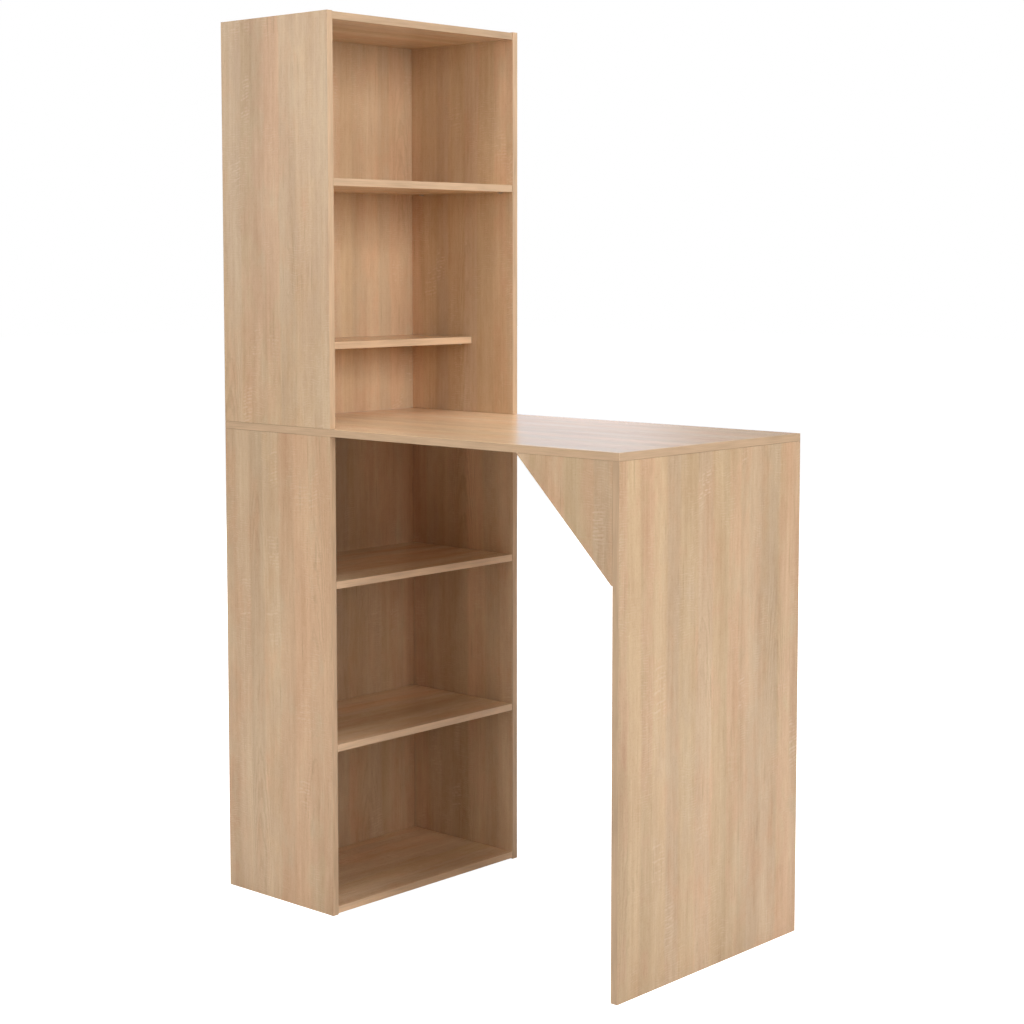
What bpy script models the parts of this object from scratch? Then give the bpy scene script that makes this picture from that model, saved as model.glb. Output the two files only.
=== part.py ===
"""Bar counter built onto a tall open bookcase: flat-pack boards with their fittings.

X runs along the counter from the bookcase to the leg, Y across the width and Z up.
The origin is on the floor, under the middle of the counter. All sizes are in metres.
"""

import math

import bmesh
import bpy
from mathutils import Matrix, Vector

# Overall sizes
COUNTER_LENGTH = 1.150
COUNTER_WIDTH = 0.600
COUNTER_HEIGHT = 1.070
BOOKCASE_DEPTH = 0.348
UPPER_BOOKCASE_HEIGHT = 0.890

# Boards and sheets
BOARD = 0.016
BACK_SHEET = 0.003
EDGE_RADIUS = 0.0005
EDGE_STEPS = 2

# Clearances
SEAT_GAP = 0.0003
SHELF_END_GAP = 0.0010
OVERSHOOT = 0.002

# Setting of the fixed boards
BOTTOM_LIFT = 0.0025
TOP_DROP = 0.0015
FRONT_SETBACK = 0.0010
BACK_INSET = 0.012
GROOVE_DEPTH = 0.006

# Clear heights between the boards, from the bottom upwards
BOTTOM_OPENING = 0.344
MIDDLE_OPENING = 0.343
BAR_OPENING = 0.164
HALF_SHELF_OPENING = 0.341
HALF_SHELF_DEPTH = 0.200

# Corner brace under the counter
BRACE_RUN = 0.245
BRACE_DROP = 0.239
BRACE_NOSE = 0.003

# Cam fittings: an eccentric in a pocket grips the head of a bolt
CAM_DIAMETER = 0.015
CAM_FLOOR = 0.003
CAM_BACKSET = 0.024
CAM_CROSS_SPAN = 0.008
CAM_CROSS_WIDTH = 0.0016
CAM_CROSS_DEPTH = 0.0018
BOLT_DIAMETER = 0.007
BOLT_NECK_DIAMETER = 0.0042
BOLT_HEAD_DIAMETER = 0.0064
BOLT_HEAD_LENGTH = 0.003
THREAD_DIAMETER = 0.0055
THREAD_POINT = 0.0015
SOCKET_FLOOR = 0.0045
FITTING_FRONT_INSET = 0.050
FITTING_REAR_INSET = 0.060
LEG_FITTING_INSET = 0.100

# Shelf pins: a round spigot with a flat tongue that the shelf lies on
PIN_DIAMETER = 0.005
PIN_SOCKET_FLOOR = 0.0067
PIN_INSET = 0.037
TONGUE_LENGTH = 0.009
TONGUE_WIDTH = 0.010
TONGUE_THICKNESS = 0.0024
TONGUE_EDGE = 0.0004

# Round shapes: how many sides they have, and up to what angle they are shaded smooth
LARGE_ROUND = 20
SMALL_ROUND = 12
SMOOTH_ANGLE = math.radians(40)
MERGE_DISTANCE = 0.000001

X_AXIS = Vector((1, 0, 0))
Y_AXIS = Vector((0, 1, 0))
Z_AXIS = Vector((0, 0, 1))

# Planes that the boards share
REAR = -COUNTER_LENGTH / 2
FRONT = REAR + BOOKCASE_DEPTH
LEG_OUTER = COUNTER_LENGTH / 2
LEG_INNER = LEG_OUTER - BOARD
SIDE_OUTER = COUNTER_WIDTH / 2
SIDE_INNER = SIDE_OUTER - BOARD
BACK_REAR = REAR + BACK_INSET
BACK_FRONT = BACK_REAR + BACK_SHEET
COUNTER_UNDERSIDE = COUNTER_HEIGHT - BOARD
TOTAL_HEIGHT = COUNTER_HEIGHT + UPPER_BOOKCASE_HEIGHT
BOARD_FRONT = FRONT - FRONT_SETBACK
BOARD_REAR = BACK_FRONT + SEAT_GAP
FITTING_FRONT = FRONT - FITTING_FRONT_INSET
FITTING_REAR = REAR + FITTING_REAR_INSET

# Undersides of the boards between the sides
BOTTOM_LEVEL = BOTTOM_LIFT
LOWER_SHELF_LEVEL = BOTTOM_LEVEL + BOARD + BOTTOM_OPENING
MIDDLE_SHELF_LEVEL = LOWER_SHELF_LEVEL + BOARD + MIDDLE_OPENING
HALF_SHELF_LEVEL = COUNTER_HEIGHT + BAR_OPENING
UPPER_SHELF_LEVEL = HALF_SHELF_LEVEL + BOARD + HALF_SHELF_OPENING
TOP_LEVEL = TOTAL_HEIGHT - TOP_DROP - BOARD

# Each side by name, with the direction that points out of the bookcase there
SIDES = {"left": -1, "right": 1}
DEPTHS = {"front": FITTING_FRONT, "rear": FITTING_REAR}


def clear_scene():
    """Removes every object that the file opens with."""
    for item in list(bpy.data.objects):
        bpy.data.objects.remove(item, do_unlink=True)


def make_material(name, colour, roughness, metallic=0.0):
    """A material with one colour, roughness and metallic value."""
    made = bpy.data.materials.new(name)
    made.use_nodes = True
    shader = made.node_tree.nodes["Principled BSDF"]
    shader.inputs["Base Color"].default_value = (*colour, 1.0)
    shader.inputs["Roughness"].default_value = roughness
    shader.inputs["Metallic"].default_value = metallic
    made.diffuse_color = (*colour, 1.0)
    return made


def add_box(shape, low, high):
    """Adds a box between two opposite corners."""
    low = Vector(low)
    high = Vector(high)
    place = Matrix.Translation((low + high) / 2) @ Matrix.Diagonal((*(high - low), 1))
    bmesh.ops.create_cube(shape, size=1.0, matrix=place)


def add_round(shape, start, end, radius, sides):
    """Adds a cylinder that runs from one point to another."""
    along = end - start
    turn = Z_AXIS.rotation_difference(along).to_matrix().to_4x4()
    place = Matrix.Translation((start + end) / 2) @ turn
    bmesh.ops.create_cone(
        shape,
        cap_ends=True,
        segments=sides,
        radius1=radius,
        radius2=radius,
        depth=along.length,
        matrix=place,
    )


def add_prism(shape, outline, thickness):
    """Adds a flat outline, given as points, thickened along the vector."""
    face = shape.faces.new([shape.verts.new(point) for point in outline])
    pushed = bmesh.ops.extrude_face_region(shape, geom=[face])
    moved = [item for item in pushed["geom"] if isinstance(item, bmesh.types.BMVert)]
    bmesh.ops.translate(shape, vec=thickness, verts=moved)
    bmesh.ops.recalc_face_normals(shape, faces=shape.faces[:])


def soften(shape, radius, steps):
    """Rounds every edge of a shape."""
    bmesh.ops.bevel(
        shape,
        geom=shape.edges[:],
        offset=radius,
        segments=steps,
        profile=0.5,
        affect="EDGES",
    )


def to_mesh(shape, name):
    """Turns a finished bmesh into a mesh."""
    made = bpy.data.meshes.new(name)
    shape.to_mesh(made)
    shape.free()
    return made


def combine(base, tool, operation):
    """The mesh that a Boolean leaves of a base and a tool."""
    pair = []
    for role, mesh in (("base", base), ("tool", tool)):
        item = bpy.data.objects.new(role, mesh)
        bpy.context.scene.collection.objects.link(item)
        pair.append(item)
    cut = pair[0].modifiers.new("cut", "BOOLEAN")
    cut.operation = operation
    cut.solver = "EXACT"
    cut.object = pair[1]
    seen = pair[0].evaluated_get(bpy.context.evaluated_depsgraph_get())
    made = bpy.data.meshes.new_from_object(seen)
    for item in pair:
        bpy.data.objects.remove(item, do_unlink=True)
    bpy.data.meshes.remove(base)
    bpy.data.meshes.remove(tool)
    return made


def round_tool(start, end, radius, sides):
    """A cylinder to cut or join with."""
    shape = bmesh.new()
    add_round(shape, start, end, radius, sides)
    return to_mesh(shape, "round_tool")


def box_tool(low, high):
    """A box to cut or join with."""
    shape = bmesh.new()
    add_box(shape, low, high)
    return to_mesh(shape, "box_tool")


def add_object(name, mesh, material, place):
    """Adds a named piece whose mesh is already in its own coordinates."""
    item = bpy.data.objects.new(name, mesh)
    bpy.context.scene.collection.objects.link(item)
    if not mesh.materials:
        mesh.materials.append(material)
    item.parent = bpy.data.objects["bar_counter"]
    item.matrix_world = place
    return item


def add_board(name, shape, material, tools=()):
    """Adds a softened board with its holes cut, its origin at the middle of its box."""
    soften(shape, EDGE_RADIUS, EDGE_STEPS)
    mesh = to_mesh(shape, name)
    for tool in tools:
        mesh = combine(mesh, tool, "DIFFERENCE")
    mesh.name = name
    corners = [vertex.co for vertex in mesh.vertices]
    low = Vector([min(corner[axis] for corner in corners) for axis in range(3)])
    high = Vector([max(corner[axis] for corner in corners) for axis in range(3)])
    middle = (low + high) / 2
    mesh.transform(Matrix.Translation(-middle))
    mesh.materials.clear()
    return add_object(name, mesh, material, Matrix.Translation(middle))


def box_shape(low, high):
    """A bmesh that holds one box."""
    shape = bmesh.new()
    add_box(shape, low, high)
    return shape


class CamJoint:
    """One cam fitting: where the cam sits, which way its pocket opens and its bolt points.

    The cam's centre is on the middle plane of its own board. The bolt runs from
    there to the joint, CAM_BACKSET away, and on into the board beyond it.
    """

    def __init__(self, name, centre, opens, towards):
        self.name = name
        self.centre = Vector(centre)
        self.opens = opens
        self.towards = towards
        self.joint = self.centre + towards * CAM_BACKSET

    def place(self):
        """Local X points along the bolt and local Z out of the pocket."""
        across = self.opens.cross(self.towards)
        turn = Matrix((self.towards, across, self.opens)).transposed().to_4x4()
        return Matrix.Translation(self.centre) @ turn

    def pocket(self):
        """The round pocket for the cam."""
        mouth = self.centre + self.opens * (BOARD / 2 + OVERSHOOT)
        floor = self.centre - self.opens * (BOARD / 2 - CAM_FLOOR)
        return round_tool(mouth, floor, CAM_DIAMETER / 2 + SEAT_GAP, LARGE_ROUND)

    def bore(self):
        """The hole for the bolt, from the pocket to the end of the cam's board."""
        mouth = self.joint + self.towards * OVERSHOOT
        return round_tool(self.centre, mouth, BOLT_DIAMETER / 2 + SEAT_GAP, SMALL_ROUND)

    def through(self):
        """The hole for a bolt that passes right through the board beyond."""
        start = self.joint - self.towards * OVERSHOOT
        end = self.joint + self.towards * (BOARD + OVERSHOOT)
        return round_tool(start, end, BOLT_DIAMETER / 2 + SEAT_GAP, SMALL_ROUND)

    def socket(self):
        """The blind hole for the bolt's thread in the board beyond."""
        start = self.joint - self.towards * OVERSHOOT
        end = self.joint + self.towards * (BOARD - SOCKET_FLOOR)
        return round_tool(start, end, THREAD_DIAMETER / 2 + SEAT_GAP, SMALL_ROUND)


def edge_joints(board, level, opens):
    """The four fittings that hold a board between the two sides."""
    made = {}
    for side, out in SIDES.items():
        for depth, x in DEPTHS.items():
            centre = (x, out * (SIDE_INNER - CAM_BACKSET), level + BOARD / 2)
            made[side, depth] = CamJoint(
                f"{board}_cam_{depth}_{side}", centre, opens, Y_AXIS * out
            )
    return made


def tie_joints(level, towards):
    """The cams of the four ties that clamp the sides to the counter."""
    made = {}
    for side, out in SIDES.items():
        for depth, x in DEPTHS.items():
            centre = (x, out * (SIDE_OUTER - BOARD / 2), level)
            made[side, depth] = CamJoint(
                f"counter_tie_{depth}_{side}", centre, -Y_AXIS * out, towards
            )
    return made


def leg_joints():
    """The two fittings between the leg panel and the counter."""
    made = {}
    for side, out in SIDES.items():
        centre = (
            LEG_OUTER - BOARD / 2,
            out * (SIDE_OUTER - LEG_FITTING_INSET),
            COUNTER_UNDERSIDE - CAM_BACKSET,
        )
        made[side] = CamJoint(f"leg_cam_{side}", centre, -X_AXIS, Z_AXIS)
    return made


def brace_joints():
    """The brace's two fittings, halfway along the edges that meet counter and leg."""
    middle = -SIDE_OUTER + BOARD / 2
    up = (LEG_INNER - BRACE_RUN / 2, middle, COUNTER_UNDERSIDE - CAM_BACKSET)
    out = (LEG_INNER - CAM_BACKSET, middle, COUNTER_UNDERSIDE - BRACE_DROP / 2)
    return {
        "counter": CamJoint("brace_cam_counter", up, Y_AXIS, Z_AXIS),
        "leg": CamJoint("brace_cam_leg", out, Y_AXIS, X_AXIS),
    }


def pin_height(level):
    """The height of a pin's axis under a shelf whose underside is at a level."""
    return level - SEAT_GAP - TONGUE_THICKNESS / 2


def pin_places(front, level):
    """Where a shelf's four pins enter the sides."""
    made = {}
    for side, out in SIDES.items():
        for depth, x in (("front", front - PIN_INSET), ("rear", BOARD_REAR + PIN_INSET)):
            made[depth, side] = Vector((x, out * SIDE_INNER, pin_height(level)))
    return made


def pin_sockets(shelves, side):
    """The blind holes in one side for the pins of the shelves there."""
    made = []
    out = Y_AXIS * SIDES[side]
    for front, level in shelves.values():
        for (_, where), mouth in pin_places(front, level).items():
            if where == side:
                start = mouth - out * OVERSHOOT
                end = mouth + out * (BOARD - PIN_SOCKET_FLOOR)
                radius = PIN_DIAMETER / 2 + SEAT_GAP
                made.append(round_tool(start, end, radius, SMALL_ROUND))
    return made


def back_groove(side, bottom, top):
    """The groove in a side that holds the edge of the back sheet."""
    inner = SIDES[side] * (SIDE_INNER - OVERSHOOT)
    floor = SIDES[side] * (SIDE_INNER + GROOVE_DEPTH)
    low = (BACK_REAR - SEAT_GAP, min(inner, floor), bottom - OVERSHOOT)
    high = (BACK_FRONT + SEAT_GAP, max(inner, floor), top + OVERSHOOT)
    return box_tool(low, high)


def make_side(name, side, span, material, ties, board_joints, shelves):
    """One side panel with its groove, cam pockets, bolt sockets and pin sockets."""
    bottom, top = span
    inner = SIDES[side] * SIDE_INNER
    outer = SIDES[side] * SIDE_OUTER
    shape = box_shape(
        (REAR, min(inner, outer), bottom), (FRONT, max(inner, outer), top)
    )
    tools = [back_groove(side, bottom, top)]
    for depth in DEPTHS:
        tools.append(ties[side, depth].pocket())
        tools.append(ties[side, depth].bore())
        tools.append(board_joints[side, depth].socket())
    tools += pin_sockets(shelves, side)
    add_board(name, shape, material, tools)


def make_fixed_board(name, level, material, joints):
    """A board between the sides, held by four cam fittings."""
    end = SIDE_INNER - SEAT_GAP
    shape = box_shape((BOARD_REAR, -end, level), (BOARD_FRONT, end, level + BOARD))
    tools = []
    for joint in joints.values():
        tools.append(joint.pocket())
        tools.append(joint.bore())
    add_board(name, shape, material, tools)


def make_shelf(name, front, level, material):
    """A loose shelf that lies on its pins."""
    end = SIDE_INNER - SHELF_END_GAP
    shape = box_shape((BOARD_REAR, -end, level), (front, end, level + BOARD))
    add_board(name, shape, material)


def make_back(name, bottom, top, material):
    """A thin back sheet with its edges in the grooves of the sides."""
    end = SIDE_INNER + GROOVE_DEPTH - SEAT_GAP
    low = (BACK_REAR, -end, bottom)
    mesh = to_mesh(box_shape(low, (BACK_FRONT, end, top)), name)
    middle = (Vector(low) + Vector((BACK_FRONT, end, top))) / 2
    mesh.transform(Matrix.Translation(-middle))
    add_object(name, mesh, material, Matrix.Translation(middle))


def make_counter(material, ties, leg, brace):
    """The counter board, which runs through the bookcase and out to the leg."""
    shape = box_shape(
        (REAR, -SIDE_OUTER, COUNTER_UNDERSIDE), (LEG_OUTER, SIDE_OUTER, COUNTER_HEIGHT)
    )
    tools = [joint.through() for joint in ties.values()]
    tools += [joint.socket() for joint in leg.values()]
    tools.append(brace["counter"].socket())
    add_board("counter_board", shape, material, tools)


def make_leg(material, leg, brace):
    """The full-width leg panel that carries the far end of the counter."""
    shape = box_shape(
        (LEG_INNER, -SIDE_OUTER, 0.0),
        (LEG_OUTER, SIDE_OUTER, COUNTER_UNDERSIDE - SEAT_GAP),
    )
    tools = [brace["leg"].socket()]
    for joint in leg.values():
        tools.append(joint.pocket())
        tools.append(joint.bore())
    add_board("leg_panel", shape, material, tools)


def make_brace(material, brace):
    """The corner brace, a triangle with blunt tips, flush with the left edges."""
    top = COUNTER_UNDERSIDE - SEAT_GAP
    right = LEG_INNER - SEAT_GAP
    left = right - BRACE_RUN
    bottom = top - BRACE_DROP
    outline = [
        (right, top),
        (left, top),
        (left, top - BRACE_NOSE),
        (right - BRACE_NOSE, bottom),
        (right, bottom),
    ]
    shape = bmesh.new()
    add_prism(shape, [(x, -SIDE_OUTER, z) for x, z in outline], Y_AXIS * BOARD)
    tools = []
    for joint in brace.values():
        tools.append(joint.pocket())
        tools.append(joint.bore())
    add_board("corner_brace", shape, material, tools)


def cam_blank():
    """A plain cam about its own centre, with Z out of the pocket."""
    face = Z_AXIS * (BOARD / 2 - SEAT_GAP)
    foot = -Z_AXIS * (BOARD / 2 - CAM_FLOOR - SEAT_GAP)
    return round_tool(foot, face, CAM_DIAMETER / 2, LARGE_ROUND)


def cross_tool():
    """The cross-shaped recess in a cam's face for the screwdriver."""
    arm = CAM_CROSS_SPAN / 2
    half = CAM_CROSS_WIDTH / 2
    corner = [(arm, -half), (arm, half), (half, half)]
    outline = []
    for quarter in range(4):
        turn = Matrix.Rotation(quarter * math.pi / 2, 2)
        outline += [turn @ Vector(point) for point in corner]
    floor = BOARD / 2 - SEAT_GAP - CAM_CROSS_DEPTH
    shape = bmesh.new()
    points = [(*point, floor) for point in outline]
    add_prism(shape, points, Z_AXIS * (CAM_CROSS_DEPTH + OVERSHOOT))
    return to_mesh(shape, "cross_tool")


def make_cam_mesh():
    """The cam: a short drum with a cross recess and a hollow that holds a bolt's head."""
    head = BOLT_HEAD_DIAMETER / 2 + SEAT_GAP
    neck = BOLT_NECK_DIAMETER / 2 + SEAT_GAP
    length = BOLT_HEAD_LENGTH / 2 + SEAT_GAP
    rim = CAM_DIAMETER / 2 + OVERSHOOT
    mesh = combine(cam_blank(), cross_tool(), "DIFFERENCE")
    cavity = box_tool((-length, -head, -head), (length, head, head))
    mesh = combine(mesh, cavity, "DIFFERENCE")
    slot = box_tool((0, -neck, -neck), (rim, neck, neck))
    mesh = combine(mesh, slot, "DIFFERENCE")
    return finish_round(mesh, "cam")


def make_bolt_mesh():
    """The bolt: head, neck, shank and thread, turned about local X from the cam's centre."""
    head = BOLT_HEAD_DIAMETER / 2
    neck = BOLT_NECK_DIAMETER / 2
    shank = BOLT_DIAMETER / 2
    thread = THREAD_DIAMETER / 2
    tip = CAM_BACKSET + BOARD - SOCKET_FLOOR - SEAT_GAP
    profile = [
        (-BOLT_HEAD_LENGTH / 2, 0.0),
        (-BOLT_HEAD_LENGTH / 2, head),
        (BOLT_HEAD_LENGTH / 2, head),
        (BOLT_HEAD_LENGTH / 2, neck),
        (CAM_DIAMETER / 2 + SEAT_GAP, neck),
        (CAM_DIAMETER / 2 + SEAT_GAP, shank),
        (CAM_BACKSET - SEAT_GAP, shank),
        (CAM_BACKSET - SEAT_GAP, thread),
        (tip - THREAD_POINT, thread),
        (tip, thread - THREAD_POINT),
        (tip, 0.0),
    ]
    shape = bmesh.new()
    points = [shape.verts.new((x, radius, 0.0)) for x, radius in profile]
    edges = [shape.edges.new(pair) for pair in zip(points, points[1:])]
    bmesh.ops.spin(
        shape,
        geom=points + edges,
        cent=(0, 0, 0),
        axis=X_AXIS,
        angle=2 * math.pi,
        steps=SMALL_ROUND,
        use_merge=True,
    )
    bmesh.ops.remove_doubles(shape, verts=shape.verts[:], dist=MERGE_DISTANCE)
    bmesh.ops.recalc_face_normals(shape, faces=shape.faces[:])
    return finish_round(to_mesh(shape, "bolt"), "bolt")


def make_tie_mesh():
    """A double-ended bolt with the cam on each of its ends, about the lower cam's centre."""
    length = BOARD + 2 * CAM_BACKSET
    bolt = round_tool(Vector(), X_AXIS * length, BOLT_DIAMETER / 2, SMALL_ROUND)
    upper = combine(cam_blank(), cross_tool(), "DIFFERENCE")
    upper.transform(Matrix.Translation(X_AXIS * length))
    lower = combine(cam_blank(), cross_tool(), "DIFFERENCE")
    mesh = combine(lower, bolt, "UNION")
    mesh = combine(mesh, upper, "UNION")
    return finish_round(mesh, "tie")


def make_pin_mesh():
    """A shelf pin about its axis at the side's inner face, with the spigot along +Y."""
    half = TONGUE_THICKNESS / 2
    shape = box_shape(
        (-TONGUE_WIDTH / 2, -TONGUE_LENGTH, -half), (TONGUE_WIDTH / 2, -SEAT_GAP, half)
    )
    soften(shape, TONGUE_EDGE, 1)
    tongue = to_mesh(shape, "tongue")
    start = -Y_AXIS * TONGUE_LENGTH / 2
    end = Y_AXIS * (BOARD - PIN_SOCKET_FLOOR - SEAT_GAP)
    spigot = round_tool(start, end, PIN_DIAMETER / 2, SMALL_ROUND)
    clear = box_tool(
        (-TONGUE_WIDTH, -TONGUE_LENGTH, half), (TONGUE_WIDTH, -SEAT_GAP, PIN_DIAMETER)
    )
    spigot = combine(spigot, clear, "DIFFERENCE")
    return finish_round(combine(tongue, spigot, "UNION"), "pin")


def finish_round(mesh, name):
    """Names a round piece's mesh and shades it smooth."""
    mesh.name = name
    mesh.materials.clear()
    mesh.shade_smooth()
    mesh.set_sharp_from_angle(angle=SMOOTH_ANGLE)
    return mesh


def add_cams_and_bolts(joints, cam, bolt, cam_finish, bolt_finish):
    """Adds the cam and the bolt of each joint."""
    for joint in joints:
        add_object(joint.name, cam, cam_finish, joint.place())
        bolt_name = joint.name.replace("_cam_", "_bolt_")
        add_object(bolt_name, bolt, bolt_finish, joint.place())


def add_pins(shelf, front, level, pin, material):
    """Adds the four pins of one shelf."""
    for (depth, side), mouth in pin_places(front, level).items():
        turn = Matrix.Rotation(0 if side == "right" else math.pi, 4, "Z")
        place = Matrix.Translation(mouth) @ turn
        add_object(f"{shelf}_pin_{depth}_{side}", pin, material, place)


def main():
    clear_scene()
    root = bpy.data.objects.new("bar_counter", None)
    bpy.context.scene.collection.objects.link(root)

    oak = make_material("oak_decor_board", (0.58, 0.42, 0.28), 0.55)
    sheet = make_material("oak_decor_sheet", (0.56, 0.40, 0.26), 0.60)
    zinc = make_material("cam_zinc", (0.62, 0.62, 0.63), 0.40, 1.0)
    steel = make_material("bolt_steel", (0.55, 0.55, 0.56), 0.35, 1.0)
    nickel = make_material("pin_nickel", (0.66, 0.64, 0.60), 0.30, 1.0)

    half_front = BOARD_REAR + HALF_SHELF_DEPTH
    lower_shelves = {
        "lower_shelf": (BOARD_FRONT, LOWER_SHELF_LEVEL),
        "middle_shelf": (BOARD_FRONT, MIDDLE_SHELF_LEVEL),
    }
    upper_shelves = {
        "half_shelf": (half_front, HALF_SHELF_LEVEL),
        "upper_shelf": (BOARD_FRONT, UPPER_SHELF_LEVEL),
    }

    bottom = edge_joints("bottom", BOTTOM_LEVEL, -Z_AXIS)
    top = edge_joints("top", TOP_LEVEL, Z_AXIS)
    under = tie_joints(COUNTER_UNDERSIDE - CAM_BACKSET, Z_AXIS)
    over = tie_joints(COUNTER_HEIGHT + CAM_BACKSET, -Z_AXIS)
    leg = leg_joints()
    brace = brace_joints()

    lower_top = COUNTER_UNDERSIDE - SEAT_GAP
    upper_bottom = COUNTER_HEIGHT + SEAT_GAP
    lower_holes = (under, bottom, lower_shelves)
    upper_holes = (over, top, upper_shelves)
    for side in SIDES:
        make_side(f"lower_side_{side}", side, (0.0, lower_top), oak, *lower_holes)
        make_side(f"upper_side_{side}", side, (upper_bottom, TOTAL_HEIGHT), oak, *upper_holes)
    make_counter(oak, under, leg, brace)
    make_leg(oak, leg, brace)
    make_brace(oak, brace)
    make_fixed_board("bottom_board", BOTTOM_LEVEL, oak, bottom)
    make_fixed_board("top_board", TOP_LEVEL, oak, top)
    make_back("lower_back", BOTTOM_LIFT, lower_top, sheet)
    make_back("upper_back", upper_bottom, TOTAL_HEIGHT - TOP_DROP, sheet)

    pin = make_pin_mesh()
    for name, (front, level) in {**lower_shelves, **upper_shelves}.items():
        make_shelf(name, front, level, oak)
        add_pins(name, front, level, pin, nickel)

    cam = make_cam_mesh()
    bolt = make_bolt_mesh()
    for joints in (bottom, top, leg, brace):
        add_cams_and_bolts(joints.values(), cam, bolt, zinc, steel)
    tie = make_tie_mesh()
    for joint in under.values():
        add_object(joint.name, tie, zinc, joint.place())


main()
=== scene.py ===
import math

import bmesh
import bpy
from mathutils import Matrix, Vector


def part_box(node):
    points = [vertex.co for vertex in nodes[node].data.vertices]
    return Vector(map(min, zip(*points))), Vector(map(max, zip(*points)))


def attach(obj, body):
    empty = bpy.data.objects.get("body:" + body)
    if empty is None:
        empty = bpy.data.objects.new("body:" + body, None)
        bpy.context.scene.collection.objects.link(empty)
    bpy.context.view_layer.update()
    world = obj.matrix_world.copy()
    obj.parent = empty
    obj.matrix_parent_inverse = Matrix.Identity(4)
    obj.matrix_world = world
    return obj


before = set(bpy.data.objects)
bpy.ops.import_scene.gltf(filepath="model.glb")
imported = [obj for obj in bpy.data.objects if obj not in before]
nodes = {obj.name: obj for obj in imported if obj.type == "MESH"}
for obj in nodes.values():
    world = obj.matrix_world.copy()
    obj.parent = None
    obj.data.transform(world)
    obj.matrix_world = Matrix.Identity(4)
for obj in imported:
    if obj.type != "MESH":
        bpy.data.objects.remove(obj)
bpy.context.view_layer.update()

scene = bpy.context.scene
print("frame loaded:", len(nodes), "nodes")


class Wire:  # one output of a node, ready for sums
    def __init__(self, sheet, socket):
        self.sheet = sheet
        self.socket = socket

    def __add__(self, other):
        return self.sheet.maths("ADD", self, other)

    def __radd__(self, other):
        return self.sheet.maths("ADD", other, self)

    def __sub__(self, other):
        return self.sheet.maths("SUBTRACT", self, other)

    def __rsub__(self, other):
        return self.sheet.maths("SUBTRACT", other, self)

    def __mul__(self, other):
        return self.sheet.maths("MULTIPLY", self, other)

    def __rmul__(self, other):
        return self.sheet.maths("MULTIPLY", other, self)

    def __truediv__(self, other):
        return self.sheet.maths("DIVIDE", self, other)

    def __rtruediv__(self, other):
        return self.sheet.maths("DIVIDE", other, self)

    def __abs__(self):
        return self.sheet.maths("ABSOLUTE", self)


class NodeSheet:  # adds nodes and sums to a node tree
    def __init__(self, tree):
        self.tree = tree

    def node(self, kind, settings=None, inputs=None, output=0):
        made = self.tree.nodes.new(kind)
        for setting, value in (settings or {}).items():
            setattr(made, setting, value)
        for key, value in (inputs or {}).items():
            self.feed(made.inputs[key], value)
        return Wire(self, made.outputs[output])

    def feed(self, socket, value):
        if isinstance(value, Wire):
            self.tree.links.new(value.socket, socket)
        elif socket.type == "VECTOR":
            socket.default_value = value[:3]
        else:
            socket.default_value = value

    def maths(self, operation, *values):
        return self.node("ShaderNodeMath", {"operation": operation}, dict(enumerate(values)))

    def split(self, wire):
        outputs = self.node("ShaderNodeSeparateXYZ", {}, {0: wire}).socket.node.outputs
        return [Wire(self, outputs[axis]) for axis in range(3)]

    def point(self, x, y, z):
        return self.node("ShaderNodeCombineXYZ", {}, {0: x, 1: y, 2: z})

    def noise(self, place, look, settings=None):
        values = {"Vector": place, "Scale": 1}
        values["Detail"] = look.get("detail", 1)
        values["Roughness"] = look.get("roughness", 0.5)
        return self.node("ShaderNodeTexNoise", settings, values)

    def faceNoise(self, across, along, look):  # noise on a board's face, about zero
        acrossWaves, alongWaves = look["waves"]
        place = self.point(across * acrossWaves, along * alongWaves, 0)
        return self.noise(place, look, {"noise_dimensions": "2D"}) - 0.5

    def solidNoise(self, spot, look):  # noise all through a piece, 0 to 1
        return self.noise(self.point(*[part * look["waves"] for part in spot]), look)

    def luck(self, first, second):  # a chance from 0 to 1 for each pair of whole numbers
        values = {"Vector": self.point(first, second, 0)}
        return self.node("ShaderNodeTexWhiteNoise", {"noise_dimensions": "2D"}, values)

    def ramp(self, value, low, high):  # 0 up to low, 1 from high, smooth between
        values = {"Value": value, "From Min": low, "From Max": high}
        return self.node("ShaderNodeMapRange", {"interpolation_type": "SMOOTHSTEP"}, values)

    def mix(self, share, first, second):  # a Mix node has its colours at inputs 6 and 7, output 2
        return self.node("ShaderNodeMix", {"data_type": "RGBA"}, {0: share, 6: first, 7: second}, 2)

    def blend(self, share, first, second):  # the same for plain values
        return first * (1 - share) + share * second

    def scaled(self, colour, amount):
        return self.node("ShaderNodeVectorMath", {"operation": "SCALE"}, {0: colour, 3: amount})

    def paled(self, colour, amount, tint):  # lighter by its amount of the tint, darker below zero
        share = self.scaled(tint, amount)
        settings = {"operation": "MULTIPLY_ADD"}
        return self.node("ShaderNodeVectorMath", settings, {0: colour, 1: share, 2: colour})

    def bump(self, height, distance):
        values = {"Height": height, "Distance": distance, "Strength": 1}
        return self.node("ShaderNodeBump", {}, values)


class Finish(NodeSheet):  # a material and the nodes behind it
    def __init__(self, name, constants):
        self.material = bpy.data.materials.new(name)
        self.material.use_nodes = True
        super().__init__(self.material.node_tree)
        self.shader = self.tree.nodes["Principled BSDF"]
        for socket, value in constants.items():
            self.shader.inputs[socket].default_value = value

    def where(self, output):  # Object for the place in metres, Normal for the way a face looks
        return self.split(self.node("ShaderNodeTexCoord", output=output))

    def finishWith(self, wires):
        for socket, wire in wires.items():
            self.feed(self.shader.inputs[socket], wire)
        return self.material

    def surface(self, colour, rough, height, depth):
        bump = self.bump(height, depth)
        return self.finishWith({"Base Color": colour, "Roughness": rough, "Normal": bump})


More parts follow.
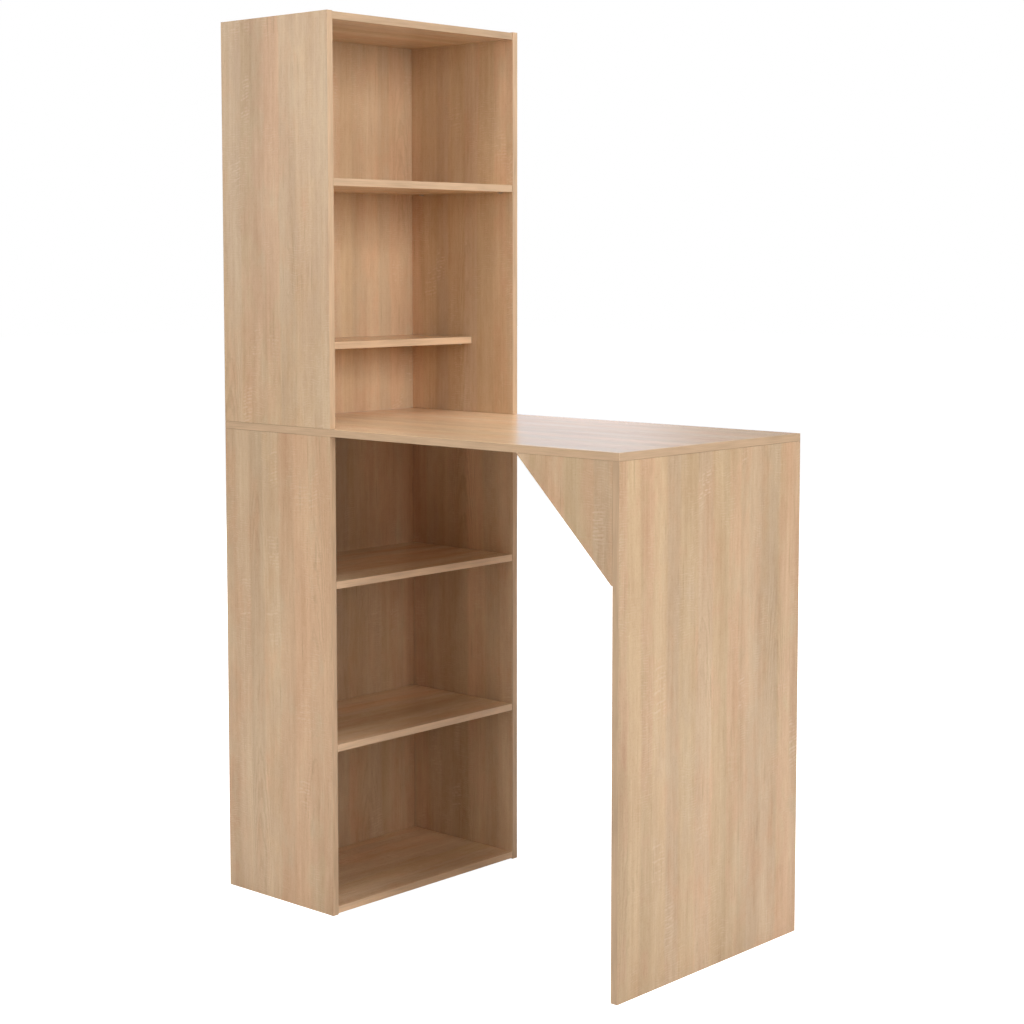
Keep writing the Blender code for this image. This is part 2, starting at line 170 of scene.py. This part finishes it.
def tone(red, green, blue):  # a colour as a paint program gives it, 0 to 255
    made = []
    for level in (red, green, blue):
        level = level / 255
        made.append(level / 12.92 if level <= 0.04045 else ((level + 0.055) / 1.055) ** 2.4)
    return (*made, 1)


# A pattern has its waves per metre: across the grain and along it, or one number all through.
# Where it has a shows pair, it begins at the first value and is full at the second.
oakDecor = {
    "yellowish": tone(215.3, 186.8, 151.6),
    "pinkish": tone(217.4, 183.2, 150.6),
    "greyish": tone(213.4, 186.1, 155.6),
    "pinkShare": {"stave": 0.8, "drift": 1.3, "tint": 1.2, "shows": (0.15, 0.65)},
    "greyShare": {"stave": 0.7, "cloud": 0.6, "tint": -1.0, "shows": (0.15, 0.75)},
    "paleTint": (0.70, 1.11, 1.24),  # pale grain is less pink than dark grain
    "seedRun": 0.7,
    "staveWidth": 0.046,
    "staveSoftness": 0.6,
    "toneSpread": 0.17,
    "wander": {"waves": (5, 0.9), "strength": 0.024},
    "tint": {"waves": (19, 10), "detail": 2, "roughness": 0.65},
    "drift": {"waves": (7, 0.8), "strength": 0.44},
    "cloud": {"waves": (20, 2.6), "detail": 2, "roughness": 0.6, "strength": 0.38},
    "lump": {"waves": (58, 27), "detail": 2, "roughness": 0.7, "strength": 0.13},
    "streak": {"waves": (120, 4.2), "detail": 2, "roughness": 0.6, "strength": 0.20},
    "fibre": {"waves": (330, 26), "strength": 0.12},
    "thread": {"waves": (1200, 70), "strength": 0.09},
    "pore": {"waves": (2300, 170), "detail": 0, "shows": (0.16, 0.26), "strength": 0.14},
    "fleck": {"waves": (190, 9), "detail": 0, "shows": (0.27, 0.40), "strength": 0.26},
    "ior": 1.5,
    "roughness": 0.22,
    "fibreRoughness": 0.10,
    "grainDepth": 0.00003,
    "threadHeight": 1.2,
}

growthRings = {
    "colour": tone(172, 138, 107),
    "strength": 0.24,
    "spacing": 0.24,
    "spacingLuck": 0.5,
    "reach": 0.055,
    "pitch": 0.005,
    "bow": 13,
    "slope": 0.055,
    "cloudRipple": 1.6,
    "lumpRipple": 1.1,
    "lineShows": (-0.1, 1.0),
    "flatCut": {"waves": (4, 2.0), "shows": (0.06, 0.20)},
    "flatCutRagged": 0.5,
}

sawMarks = {
    "colour": tone(240, 218, 192),
    "strength": 0.36,
    "pitch": 0.0074,
    "length": 0.036,
    "shortest": 0.20,
    "lengthSpread": 0.42,
    "shuffle": 0.4,
    "endFade": (-0.006, 0.004),
    "gapShows": (0.18, 0.44),
    "faintest": 0.35,
    "patchLength": 0.17,
    "patchShift": 0.37,
    "patchShare": 0.36,
    "patchFade": (0.14, 0.32),
    "patchWaver": 0.6,
    "lean": (-0.25, 1.25),
    "waver": {"waves": (18, 5)},
    "waverShift": 0.012,
    "torn": {"waves": (90, 150), "detail": 0, "shows": (-0.20, 0.10)},
}

hatching = {
    "strength": 0.20,
    "pitch": 0.0052,
    "waverShift": 0.02,
    "area": {"waves": (13, 4.1), "shows": (-0.02, 0.18)},
    "broken": {"waves": (62, 100), "detail": 0, "shows": (-0.10, 0.14)},
}


class DecorSheet:  # where a point lies on the printed sheet that covers a board
    def __init__(self, finish, along, across, seed):
        self.finish = finish
        self.run = along + seed * oakDecor["seedRun"]
        self.side = across + seed
        wander = oakDecor["wander"]
        self.bent = self.side + self.straight(wander) * wander["strength"]
        self.stave = self.bent / oakDecor["staveWidth"]
        self.waver = self.straight(sawMarks["waver"])

    def straight(self, look):  # a noise that runs straight down the board
        return self.finish.faceNoise(self.side, self.run, look)

    def bending(self, look):  # a noise that follows the bent grain
        return self.finish.faceNoise(self.bent, self.run, look)

    def spots(self, look):  # only the peaks of such a noise
        return self.finish.ramp(self.bending(look), *look["shows"])

    def cells(self, place, settings, values, output):  # staves or arcs side by side
        settings = {"voronoi_dimensions": "1D", **settings}
        values = {"W": place, "Scale": 1, **values}
        return self.finish.node("ShaderNodeTexVoronoi", settings, values, output)


def tintShare(finish, look, stave, waves):  # how far a tint shows in a stave
    share = stave * look["stave"]
    for name, wave in waves.items():
        if name in look:
            share = share + wave * look[name]
    return finish.ramp(share, *look["shows"])


def printedWood(sheet, waves, pores):  # tinted staves, then paler and darker grain on them
    look = oakDecor
    finish = sheet.finish
    soft = {"Smoothness": look["staveSoftness"]}
    staves = sheet.cells(sheet.stave, {"feature": "SMOOTH_F1"}, soft, "Color")
    light, pink, grey = finish.split(staves)
    pinkShare = tintShare(finish, look["pinkShare"], pink, waves)
    greyShare = tintShare(finish, look["greyShare"], grey, waves)
    colour = finish.mix(pinkShare, look["yellowish"], look["pinkish"])
    colour = finish.mix(greyShare, colour, look["greyish"])
    level = 1 + (light - 0.5) * look["toneSpread"] + waves["drift"] * look["drift"]["strength"]
    pale = pores * -look["pore"]["strength"]
    for name in ("cloud", "lump", "streak", "fibre", "thread"):
        pale = pale + waves[name] * look[name]["strength"]
    return finish.paled(finish.scaled(colour, level), pale, look["paleTint"])


def ringLines(sheet, cloud, lump):  # rings run out in arcs where the board was cut flat
    look = growthRings
    finish = sheet.finish
    place = sheet.bent / look["spacing"]
    centre = sheet.cells(place, {}, {"Randomness": look["spacingLuck"]}, "W")
    aside = sheet.bent - centre * look["spacing"]
    sweep = (aside * aside * look["bow"] + sheet.run * look["slope"]) / look["pitch"]
    sweep = sweep + cloud * look["cloudRipple"] + lump * look["lumpRipple"]
    line = finish.ramp(finish.maths("SINE", sweep * (2 * math.pi)), *look["lineShows"])
    near = 1 - finish.ramp(abs(aside), look["reach"] / 2, look["reach"])
    flatCut = sheet.bending(look["flatCut"]) + lump * look["flatCutRagged"]
    return line * (finish.ramp(flatCut, *look["flatCut"]["shows"]) * near)


def sawStrokes(sheet):  # rows of short pale strokes, a stave wide, in patches
    look = sawMarks
    finish = sheet.finish
    middle = sheet.cells(sheet.stave, {}, {}, "W")
    number = finish.maths("ROUND", middle * 16)  # a whole number of its own for each stave
    patchRow = sheet.run / look["patchLength"] + number * look["patchShift"]
    patchLuck = finish.luck(finish.maths("FLOOR", patchRow), number)
    inPatch = finish.maths("FRACT", patchRow) - 0.5 + sheet.waver * look["patchWaver"]
    chosen = finish.ramp(patchLuck, look["patchShare"], 0)
    window = (1 - finish.ramp(abs(inPatch), *look["patchFade"])) * chosen
    leastLean, mostLean = look["lean"]
    lean = patchLuck * (mostLean - leastLean) + leastLean
    strokeRow = (sheet.run + sheet.side * lean + sheet.waver * look["waverShift"]) / look["pitch"]
    rowLuck = finish.luck(finish.maths("FLOOR", strokeRow), number)
    half = look["length"] * (look["shortest"] + rowLuck * look["lengthSpread"])
    offset = sheet.stave - middle + (rowLuck - 0.5) * look["shuffle"]
    width = 1 - finish.ramp(abs(offset) * oakDecor["staveWidth"] - half, *look["endFade"])
    gap = finish.ramp(abs(finish.maths("FRACT", strokeRow) - 0.5), *look["gapShows"])
    weight = look["faintest"] + rowLuck * (1 - look["faintest"])
    return (1 - gap) * window * width * sheet.spots(look["torn"]) * weight


def hatchLines(sheet):  # finer hatching over wider areas
    look = hatching
    finish = sheet.finish
    turns = (sheet.run + sheet.waver * look["waverShift"]) * (2 * math.pi / look["pitch"])
    line = finish.ramp(finish.maths("SINE", turns), 0, 1)
    return line * sheet.spots(look["area"]) * sheet.spots(look["broken"])


def sawnOakFace(finish, along, across, plan):
    look = oakDecor
    sheet = DecorSheet(finish, along, across, plan["seed"])
    names = ("drift", "cloud", "lump", "streak", "fibre", "thread")
    waves = {name: sheet.bending(look[name]) for name in names}
    waves["tint"] = sheet.straight(look["tint"])
    pores = sheet.spots(look["pore"])
    colour = printedWood(sheet, waves, pores)
    rings = ringLines(sheet, waves["cloud"], waves["lump"]) * growthRings["strength"]
    dark = rings + sheet.spots(look["fleck"]) * look["fleck"]["strength"]
    colour = finish.mix(dark, colour, growthRings["colour"])
    pale = sawStrokes(sheet) * sawMarks["strength"] + hatchLines(sheet) * hatching["strength"]
    colour = finish.mix(pale, colour, sawMarks["colour"])
    colour = finish.mix(plan.get("calm", 0), colour, look["yellowish"])
    rough = look["roughness"] + waves["fibre"] * look["fibreRoughness"]
    return colour, rough, waves["thread"] * look["threadHeight"] - pores


edgeBand = {
    "colour": tone(221, 190, 158),
    "fibre": {"waves": (600, 18), "strength": 0.24},
    "patch": {"waves": (70, 7), "strength": 0.34},
    "seamWidth": 0.0004,
    "seamFull": 0.3,
    "seamSetback": 0.0009,
    "seamStrength": 0.14,
    "facing": 0.5,  # how squarely a face looks sideways before it counts as an edge
}

rawEdge = {
    "lightChip": tone(206, 176, 134),
    "darkChip": tone(140, 106, 72),
    "chipLength": 0.0040,
    "chipThickness": 0.0012,
    "dust": {"waves": 900},
    "dustShare": 0.3,
    "roughness": 0.80,
    "facing": 0.7,
}

# grain: the axes along the grain, across it and through the board
# tone, band: how light the faces and the edge band are. Besides the decor's own tone, these hold painted
# light: the counter, top and bottom boards and the lower, half and upper shelves are lighter than the
# sides, as if lit from above, and the edge bands of the bottom board and the lower and middle shelves are
# lighter, a painted light that lifts the shade below the counter
# calm: how far the decor fades to a plain tone
# raw: the edges without a band, as an axis and the side it looks to
boards = {
    "lower_side_left": {"grain": "zxy", "seed": 6.56, "tone": 1.0, "band": 0.95, "raw": ["x-", "z-"]},
    "lower_side_right": {"grain": "zxy", "seed": 0.97, "tone": 1.0, "band": 0.95, "raw": ["x-", "z-"]},
    "upper_side_left": {"grain": "zxy", "seed": 11.42, "tone": 1.0, "band": 0.91, "raw": ["x-", "z-"]},
    "upper_side_right": {"grain": "zxy", "seed": 2.59, "tone": 1.0, "band": 0.95, "raw": ["x-", "z-"]},
    "counter_board": {"grain": "xyz", "seed": 3.32, "tone": 1.21, "band": 0.9, "calm": 0.3, "raw": []},
    "leg_panel": {"grain": "zyx", "seed": 2.26, "tone": 1.0, "band": 0.83, "raw": ["z-"]},
    "corner_brace": {"grain": "zxy", "seed": 5.04, "tone": 0.94, "band": 0.9, "raw": []},
    "top_board": {"grain": "yxz", "seed": 5.86, "tone": 1.05, "band": 0.82, "raw": ["x-"]},
    "bottom_board": {"grain": "yxz", "seed": 6.08, "tone": 1.22, "band": 1.25, "raw": ["x-"]},
    "lower_shelf": {"grain": "yxz", "seed": 7.49, "tone": 1.13, "band": 1.12, "raw": ["x-", "y-", "y+"]},
    "middle_shelf": {"grain": "yxz", "seed": 8.25, "tone": 1.0, "band": 1.14, "raw": ["x-", "y-", "y+"]},
    "half_shelf": {"grain": "yxz", "seed": 9.03, "tone": 1.1, "band": 1.06, "raw": ["x-", "y-", "y+"]},
    "upper_shelf": {"grain": "yxz", "seed": 9.88, "tone": 1.2, "band": 0.94, "raw": ["x-", "y-", "y+"]},
}


def seamShare(finish, name, spot, axes):  # the fine line where the decor meets the edge band
    look = edgeBand
    low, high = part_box(name)
    gaps = []
    for axis in axes:
        half = (high[axis] - low[axis]) / 2
        gaps.append(half - abs(spot[axis] - (high[axis] + low[axis]) / 2))
    away = abs(finish.maths("MINIMUM", *gaps) - look["seamSetback"])
    return 1 - finish.ramp(away, look["seamWidth"] * look["seamFull"], look["seamWidth"])


def bandColour(finish, plan, depth, run):  # plain decor with fibres along the edge
    level = 1
    for look in (edgeBand["fibre"], edgeBand["patch"]):
        level = level + finish.faceNoise(depth + plan["seed"], run, look) * look["strength"]
    # plan band: the edge band's own lightness, with painted light on the shaded bands below the counter
    return finish.scaled(edgeBand["colour"], plan["band"] * level)


def rawShare(finish, plan, facing):  # 1 on the edges that have no band
    share = 0
    for axis, side in plan["raw"]:
        outwards = facing["xyz".index(axis)] * (1 if side == "+" else -1)
        edge = finish.maths("GREATER_THAN", outwards, rawEdge["facing"])
        share = finish.maths("MAXIMUM", share, edge)
    return share


def chipboard(finish, spot, through):
    look = rawEdge
    sizes = [look["chipLength"]] * 3
    sizes[through] = look["chipThickness"]
    point = finish.point(*[place / size for place, size in zip(spot, sizes)])
    chip = finish.node("ShaderNodeTexVoronoi", {}, {"Vector": point, "Scale": 1}, "Color")
    share = finish.split(chip)[0]
    dust = finish.solidNoise(spot, look["dust"])
    light = share * (1 - look["dustShare"]) + dust * look["dustShare"]
    return finish.mix(light, look["darkChip"], look["lightChip"]), share + dust


def boardFinish(name, plan):
    finish = Finish("sawnOak_" + name, {"IOR": oakDecor["ior"]})
    along, across, through = ["xyz".index(letter) for letter in plan["grain"]]
    spot = finish.where("Object")
    facing = finish.where("Normal")
    colour, rough, height = sawnOakFace(finish, spot[along], spot[across], plan)
    seam = seamShare(finish, name, spot, (along, across))
    # plan tone: the board's own lightness, with painted light from above on the horizontal boards
    colour = finish.scaled(colour, plan["tone"] * (1 - seam * edgeBand["seamStrength"]))

    onSideEdge = finish.maths("GREATER_THAN", abs(facing[across]), edgeBand["facing"])
    run = finish.blend(onSideEdge, spot[across], spot[along])
    onEdge = finish.maths("LESS_THAN", abs(facing[through]), edgeBand["facing"])
    colour = finish.mix(onEdge, colour, bandColour(finish, plan, spot[through], run))

    if plan["raw"]:
        raw = rawShare(finish, plan, facing)
        chips, chipHeight = chipboard(finish, spot, through)
        colour = finish.mix(raw, colour, chips)
        rough = finish.blend(raw, rough, rawEdge["roughness"])
        height = finish.blend(raw, height, chipHeight)
    return finish.surface(colour, rough, height, oakDecor["grainDepth"])


for name, plan in boards.items():
    nodes[name].data.materials[0] = boardFinish(name, plan)
print("oak boards finished:", len(boards))


backSheet = {
    "rearColour": tone(158, 124, 88),
    "rearFleck": tone(120, 90, 60),
    "rearRoughness": 0.55,
    "facing": 0.5,
    "felt": {"waves": 400, "detail": 4, "roughness": 0.7, "shows": (0.48, 0.72), "strength": 0.6},
    "cloud": {"waves": 9, "detail": 2, "strength": 0.3},
    "sheets": {"lower_back": {"seed": 10.74}, "upper_back": {"seed": 11.56, "calm": 0.15}},
}


def sheetFinish(name, plan):  # decor towards the shelves, bare fibreboard behind
    look = backSheet
    finish = Finish("decorSheet_" + name, {"IOR": oakDecor["ior"]})
    spot = finish.where("Object")
    facing = finish.where("Normal")
    colour, rough, height = sawnOakFace(finish, spot[2], spot[1], plan)
    felt = finish.solidNoise(spot, look["felt"])
    fleck = finish.ramp(felt, *look["felt"]["shows"]) * look["felt"]["strength"]
    fleck = fleck + finish.solidNoise(spot, look["cloud"]) * look["cloud"]["strength"]
    behind = finish.maths("LESS_THAN", facing[0], look["facing"])
    colour = finish.mix(behind, colour, finish.mix(fleck, look["rearColour"], look["rearFleck"]))
    rough = finish.blend(behind, rough, look["rearRoughness"])
    height = finish.blend(behind, height, felt)
    return finish.surface(colour, rough, height, oakDecor["grainDepth"])


for name, plan in backSheet["sheets"].items():
    nodes[name].data.materials[0] = sheetFinish(name, plan)
print("back sheets finished")


castZinc = {
    "dull": tone(150, 151, 154),
    "bright": tone(196, 197, 200),
    "roughness": 0.42,
}
platedSteel = {
    "dull": tone(140, 142, 148),
    "bright": tone(190, 191, 196),
    "roughness": 0.30,
    "threadPitch": 0.0011,
}
nickel = {
    "dull": tone(186, 182, 174),
    "bright": tone(218, 214, 206),
    "roughness": 0.46,
}
metalGrain = {
    "coarse": {"waves": 260, "detail": 3, "roughness": 0.6},
    "fine": {"waves": 2600, "detail": 2, "roughness": 0.6},
    "coarseShare": 0.7,
    "shows": (0.35, 0.65),
    "roughnessSpread": 0.24,
    "threadHeight": 3,
    "depth": 0.00004,
}


def metalFinish(name, look):
    grain = metalGrain
    finish = Finish(name, {"Metallic": 1})
    spot = finish.where("Object")
    coarse = finish.solidNoise(spot, grain["coarse"])
    fine = finish.solidNoise(spot, grain["fine"])
    share = coarse * grain["coarseShare"] + fine * (1 - grain["coarseShare"])
    colour = finish.mix(finish.ramp(share, *grain["shows"]), look["dull"], look["bright"])
    rough = look["roughness"] + (0.5 - coarse) * grain["roughnessSpread"]
    height = fine
    if "threadPitch" in look:
        turns = (spot[0] + spot[1] + spot[2]) * (2 * math.pi / look["threadPitch"])
        height = height + finish.maths("SINE", turns) * grain["threadHeight"]
    return finish.surface(colour, rough, height, grain["depth"])


zinc = metalFinish("castZinc", castZinc)
steel = metalFinish("platedSteel", platedSteel)
pinMetal = metalFinish("shelfPinNickel", nickel)
for name, node in nodes.items():
    if "_cam_" in name or name.startswith("counter_tie"):
        node.data.materials[0] = zinc
    elif "_bolt_" in name:
        node.data.materials[0] = steel
    elif "_pin_" in name:
        node.data.materials[0] = pinMetal
print("fittings finished")


coverCap = {"radius": 0.0092, "thickness": 0.0004, "edge": 0.00015, "sides": 48}


def addPiece(name, shape, material):
    mesh = bpy.data.meshes.new(name)
    shape.to_mesh(mesh)
    shape.free()
    mesh.materials.append(material)
    piece = bpy.data.objects.new(name, mesh)
    scene.collection.objects.link(piece)
    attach(piece, "carcass")


def addDisc(shape, centre, out, look):  # a thin disc on a face, with its front rim eased
    thickness = look["thickness"]
    radius = look["radius"]
    turn = Vector((0, 0, 1)).rotation_difference(out).to_matrix().to_4x4()
    place = Matrix.Translation(centre + out * thickness / 2) @ turn
    made = bmesh.ops.create_cone(
        shape,
        cap_ends=True,
        segments=look["sides"],
        radius1=radius,
        radius2=radius,
        depth=thickness,
        matrix=place,
    )
    edges = dict.fromkeys(edge for vertex in made["verts"] for edge in vertex.link_edges)
    front = [
        edge for edge in edges
        if all((end.co - centre).dot(out) > thickness / 2 for end in edge.verts)
    ]
    bmesh.ops.bevel(
        shape,
        geom=front,
        offset=look["edge"],
        segments=2,
        profile=0.5,
        affect="EDGES",
        material=-1,
    )


def addCap(name, centre, out, host):
    shape = bmesh.new()
    addDisc(shape, centre, out, coverCap)
    addPiece(name, shape, nodes[host].data.materials[0])


def boxMiddle(name):
    low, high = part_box(name)
    return (low + high) / 2


def addTieCaps(depth, side, face, out):  # a tie joins two side boards, with a cap over each end
    low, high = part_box(f"counter_tie_{depth}_{side}")
    drum = (high.x - low.x) / 2
    for level, height in (("lower", low.z + drum), ("upper", high.z - drum)):
        centre = Vector(((low.x + high.x) / 2, face, height))
        addCap(f"cap_{level}_{depth}_{side}", centre, out, f"{level}_side_{side}")


def addCamCap(name, cam, host, axis, outwards):  # over a cam, on the face of the board that holds it
    spot = boxMiddle(cam)
    out = Vector((0, 0, 0))
    out[axis] = outwards
    spot[axis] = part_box(host)[1 if outwards > 0 else 0][axis]
    addCap(name, spot, out, host)


for side, inwards in (("left", 1), ("right", -1)):
    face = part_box("upper_side_" + side)[1 if inwards > 0 else 0].y
    for depth in ("front", "rear"):
        addTieCaps(depth, side, face, Vector((0, inwards, 0)))
        addCamCap(f"cap_top_{depth}_{side}", f"top_cam_{depth}_{side}", "top_board", 2, 1)
    addCamCap("cap_leg_" + side, "leg_cam_" + side, "leg_panel", 0, -1)
for place in ("counter", "leg"):
    addCamCap("cap_brace_" + place, "brace_cam_" + place, "corner_brace", 1, 1)
print("cover caps added")


backNails = {
    "radius": 0.0024,
    "thickness": 0.0007,
    "edge": 0.0003,
    "sides": 16,
    "perRow": 5,
    "inset": 0.045,
}


def addBackNails():
    look = backNails
    shape = bmesh.new()
    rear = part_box("lower_back")[0].x
    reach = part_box("bottom_board")[1].y - look["inset"]
    for board in ("bottom_board", "top_board"):
        height = boxMiddle(board).z
        for step in range(look["perRow"]):
            aside = -reach + 2 * reach * step / (look["perRow"] - 1)
            addDisc(shape, Vector((rear, aside, height)), Vector((-1, 0, 0)), look)
    addPiece("back_nails", shape, steel)


addBackNails()
print("back nails added")


studio = {
    "floorColour": (0.68, 0.68, 0.68, 1),
    "floorRoughness": 0.9,
    "floorGlow": 1.0,
    "floorSize": 60,
    "fill": 0.01,
}

lamps = {
    "frontLamp": {"spot": (6.2, -0.2, 3.0), "size": 3.0, "power": 187, "colour": (1.0, 0.965, 0.925)},
    "keyLamp": {"spot": (5.8, -3.2, 3.0), "size": 3.0, "power": 84, "colour": (1.0, 0.965, 0.93)},
    "highLamp": {"spot": (3.4, -4.0, 5.2), "size": 3.0, "power": 28, "colour": (1.0, 0.965, 0.93)},
    "sideLamp": {"spot": (-1.8, -6.4, 2.1), "size": 3.0, "power": 97, "colour": (1.0, 0.96, 0.905)},
    "closeSideLamp": {"spot": (0.1, -3.8, 1.5), "size": 2.0, "power": 25, "colour": (1.0, 0.92, 0.81)},
    "topLamp": {"spot": (0.7, -0.6, 4.6), "size": 2.0, "power": 82, "colour": (1.0, 0.965, 0.93)},
    "rearLamp": {"spot": (-5.6, 2.4, 3.0), "size": 3.0, "power": 250, "colour": (1.0, 0.965, 0.92)},
    "farLamp": {"spot": (-0.8, 6.4, 2.6), "size": 3.0, "power": 130, "colour": (1.0, 0.965, 0.92)},
}
lampAim = (0, 0, 1.0)

# what the gloss mirrors: a pale backdrop with a darker part beyond the open side
backdrop = {
    "pale": (0.65, 0.76, 0.93, 1),
    "dark": (0.06, 0.11, 0.19, 1),
    "darkHeading": -10,
    "darkHalfAngle": 48,
    "blur": 1.5,
}

camera = {
    "spot": (3.01198, -3.28134, 1.43104),
    "azimuth": 42.2754,
    "dip": 4.7208,
    "lens": 72.035,
    "sensor": 36,
    "shiftUp": -0.0801,
}


def addFloor():
    shape = bmesh.new()
    bmesh.ops.create_grid(shape, x_segments=1, y_segments=1, size=studio["floorSize"] / 2)
    mesh = bpy.data.meshes.new("floor")
    shape.to_mesh(mesh)
    shape.free()
    constants = {
        "Base Color": studio["floorColour"],
        "Roughness": studio["floorRoughness"],
        "Specular IOR Level": 0,
        "Emission Strength": studio["floorGlow"],
    }
    finish = Finish("paleFloor", constants)
    seen = finish.node("ShaderNodeLightPath", output="Is Camera Ray")
    glow = finish.mix(seen, (0, 0, 0, 1), (1, 1, 1, 1))  # the camera sees the glow, and it lights nothing
    mesh.materials.append(finish.finishWith({"Emission Color": glow}))
    floor = bpy.data.objects.new("floor", mesh)
    scene.collection.objects.link(floor)


def addLamp(name, look):
    light = bpy.data.lights.new(name, "AREA")
    light.shape = "SQUARE"
    light.size = look["size"]
    light.color = look["colour"]
    light.energy = look["power"]
    lamp = bpy.data.objects.new(name, light)
    scene.collection.objects.link(lamp)
    lamp.location = look["spot"]
    lamp.visible_camera = False
    lamp.visible_glossy = False
    aim = Vector(lampAim) - Vector(look["spot"])
    lamp.rotation_euler = aim.to_track_quat("-Z", "Y").to_euler()


def addWorld():
    world = bpy.data.worlds.new("studio")
    world.use_nodes = True
    sky = NodeSheet(world.node_tree)
    direction = sky.node("ShaderNodeTexCoord", output="Generated")
    heading = math.radians(backdrop["darkHeading"])
    middle = (-math.sin(heading), math.cos(heading), 0)
    towards = sky.node(
        "ShaderNodeVectorMath", {"operation": "DOT_PRODUCT"}, {0: direction, 1: middle}, "Value"
    )
    half = backdrop["darkHalfAngle"]
    inner = math.cos(math.radians(half - backdrop["blur"]))
    outer = math.cos(math.radians(half + backdrop["blur"]))
    mirrored = sky.mix(sky.ramp(towards, outer, inner), backdrop["pale"], backdrop["dark"])
    fill = [studio["fill"]] * 3 + [1]
    glossy = sky.node("ShaderNodeLightPath", output="Is Glossy Ray")
    lighting = sky.mix(glossy, fill, mirrored)
    toCamera = sky.node("ShaderNodeLightPath", output="Is Camera Ray")
    seen = sky.mix(toCamera, lighting, (1, 1, 1, 1))
    sky.feed(sky.tree.nodes["Background"].inputs["Color"], seen)
    scene.world = world


def addCamera():
    made = bpy.data.cameras.new("camera")
    made.lens = camera["lens"]
    made.sensor_width = camera["sensor"]
    made.shift_y = camera["shiftUp"]
    seat = bpy.data.objects.new("camera", made)
    scene.collection.objects.link(seat)
    turn = math.radians(camera["azimuth"])
    dip = math.radians(camera["dip"])
    back = Vector((math.sin(turn) * math.cos(dip), -math.cos(turn) * math.cos(dip), math.sin(dip)))
    seat.location = camera["spot"]
    seat.rotation_euler = (-back).to_track_quat("-Z", "Y").to_euler()
    scene.camera = seat


addFloor()
for name, look in lamps.items():
    addLamp(name, look)
addWorld()
addCamera()
scene.view_settings.view_transform = "Standard"
print("studio and camera set")
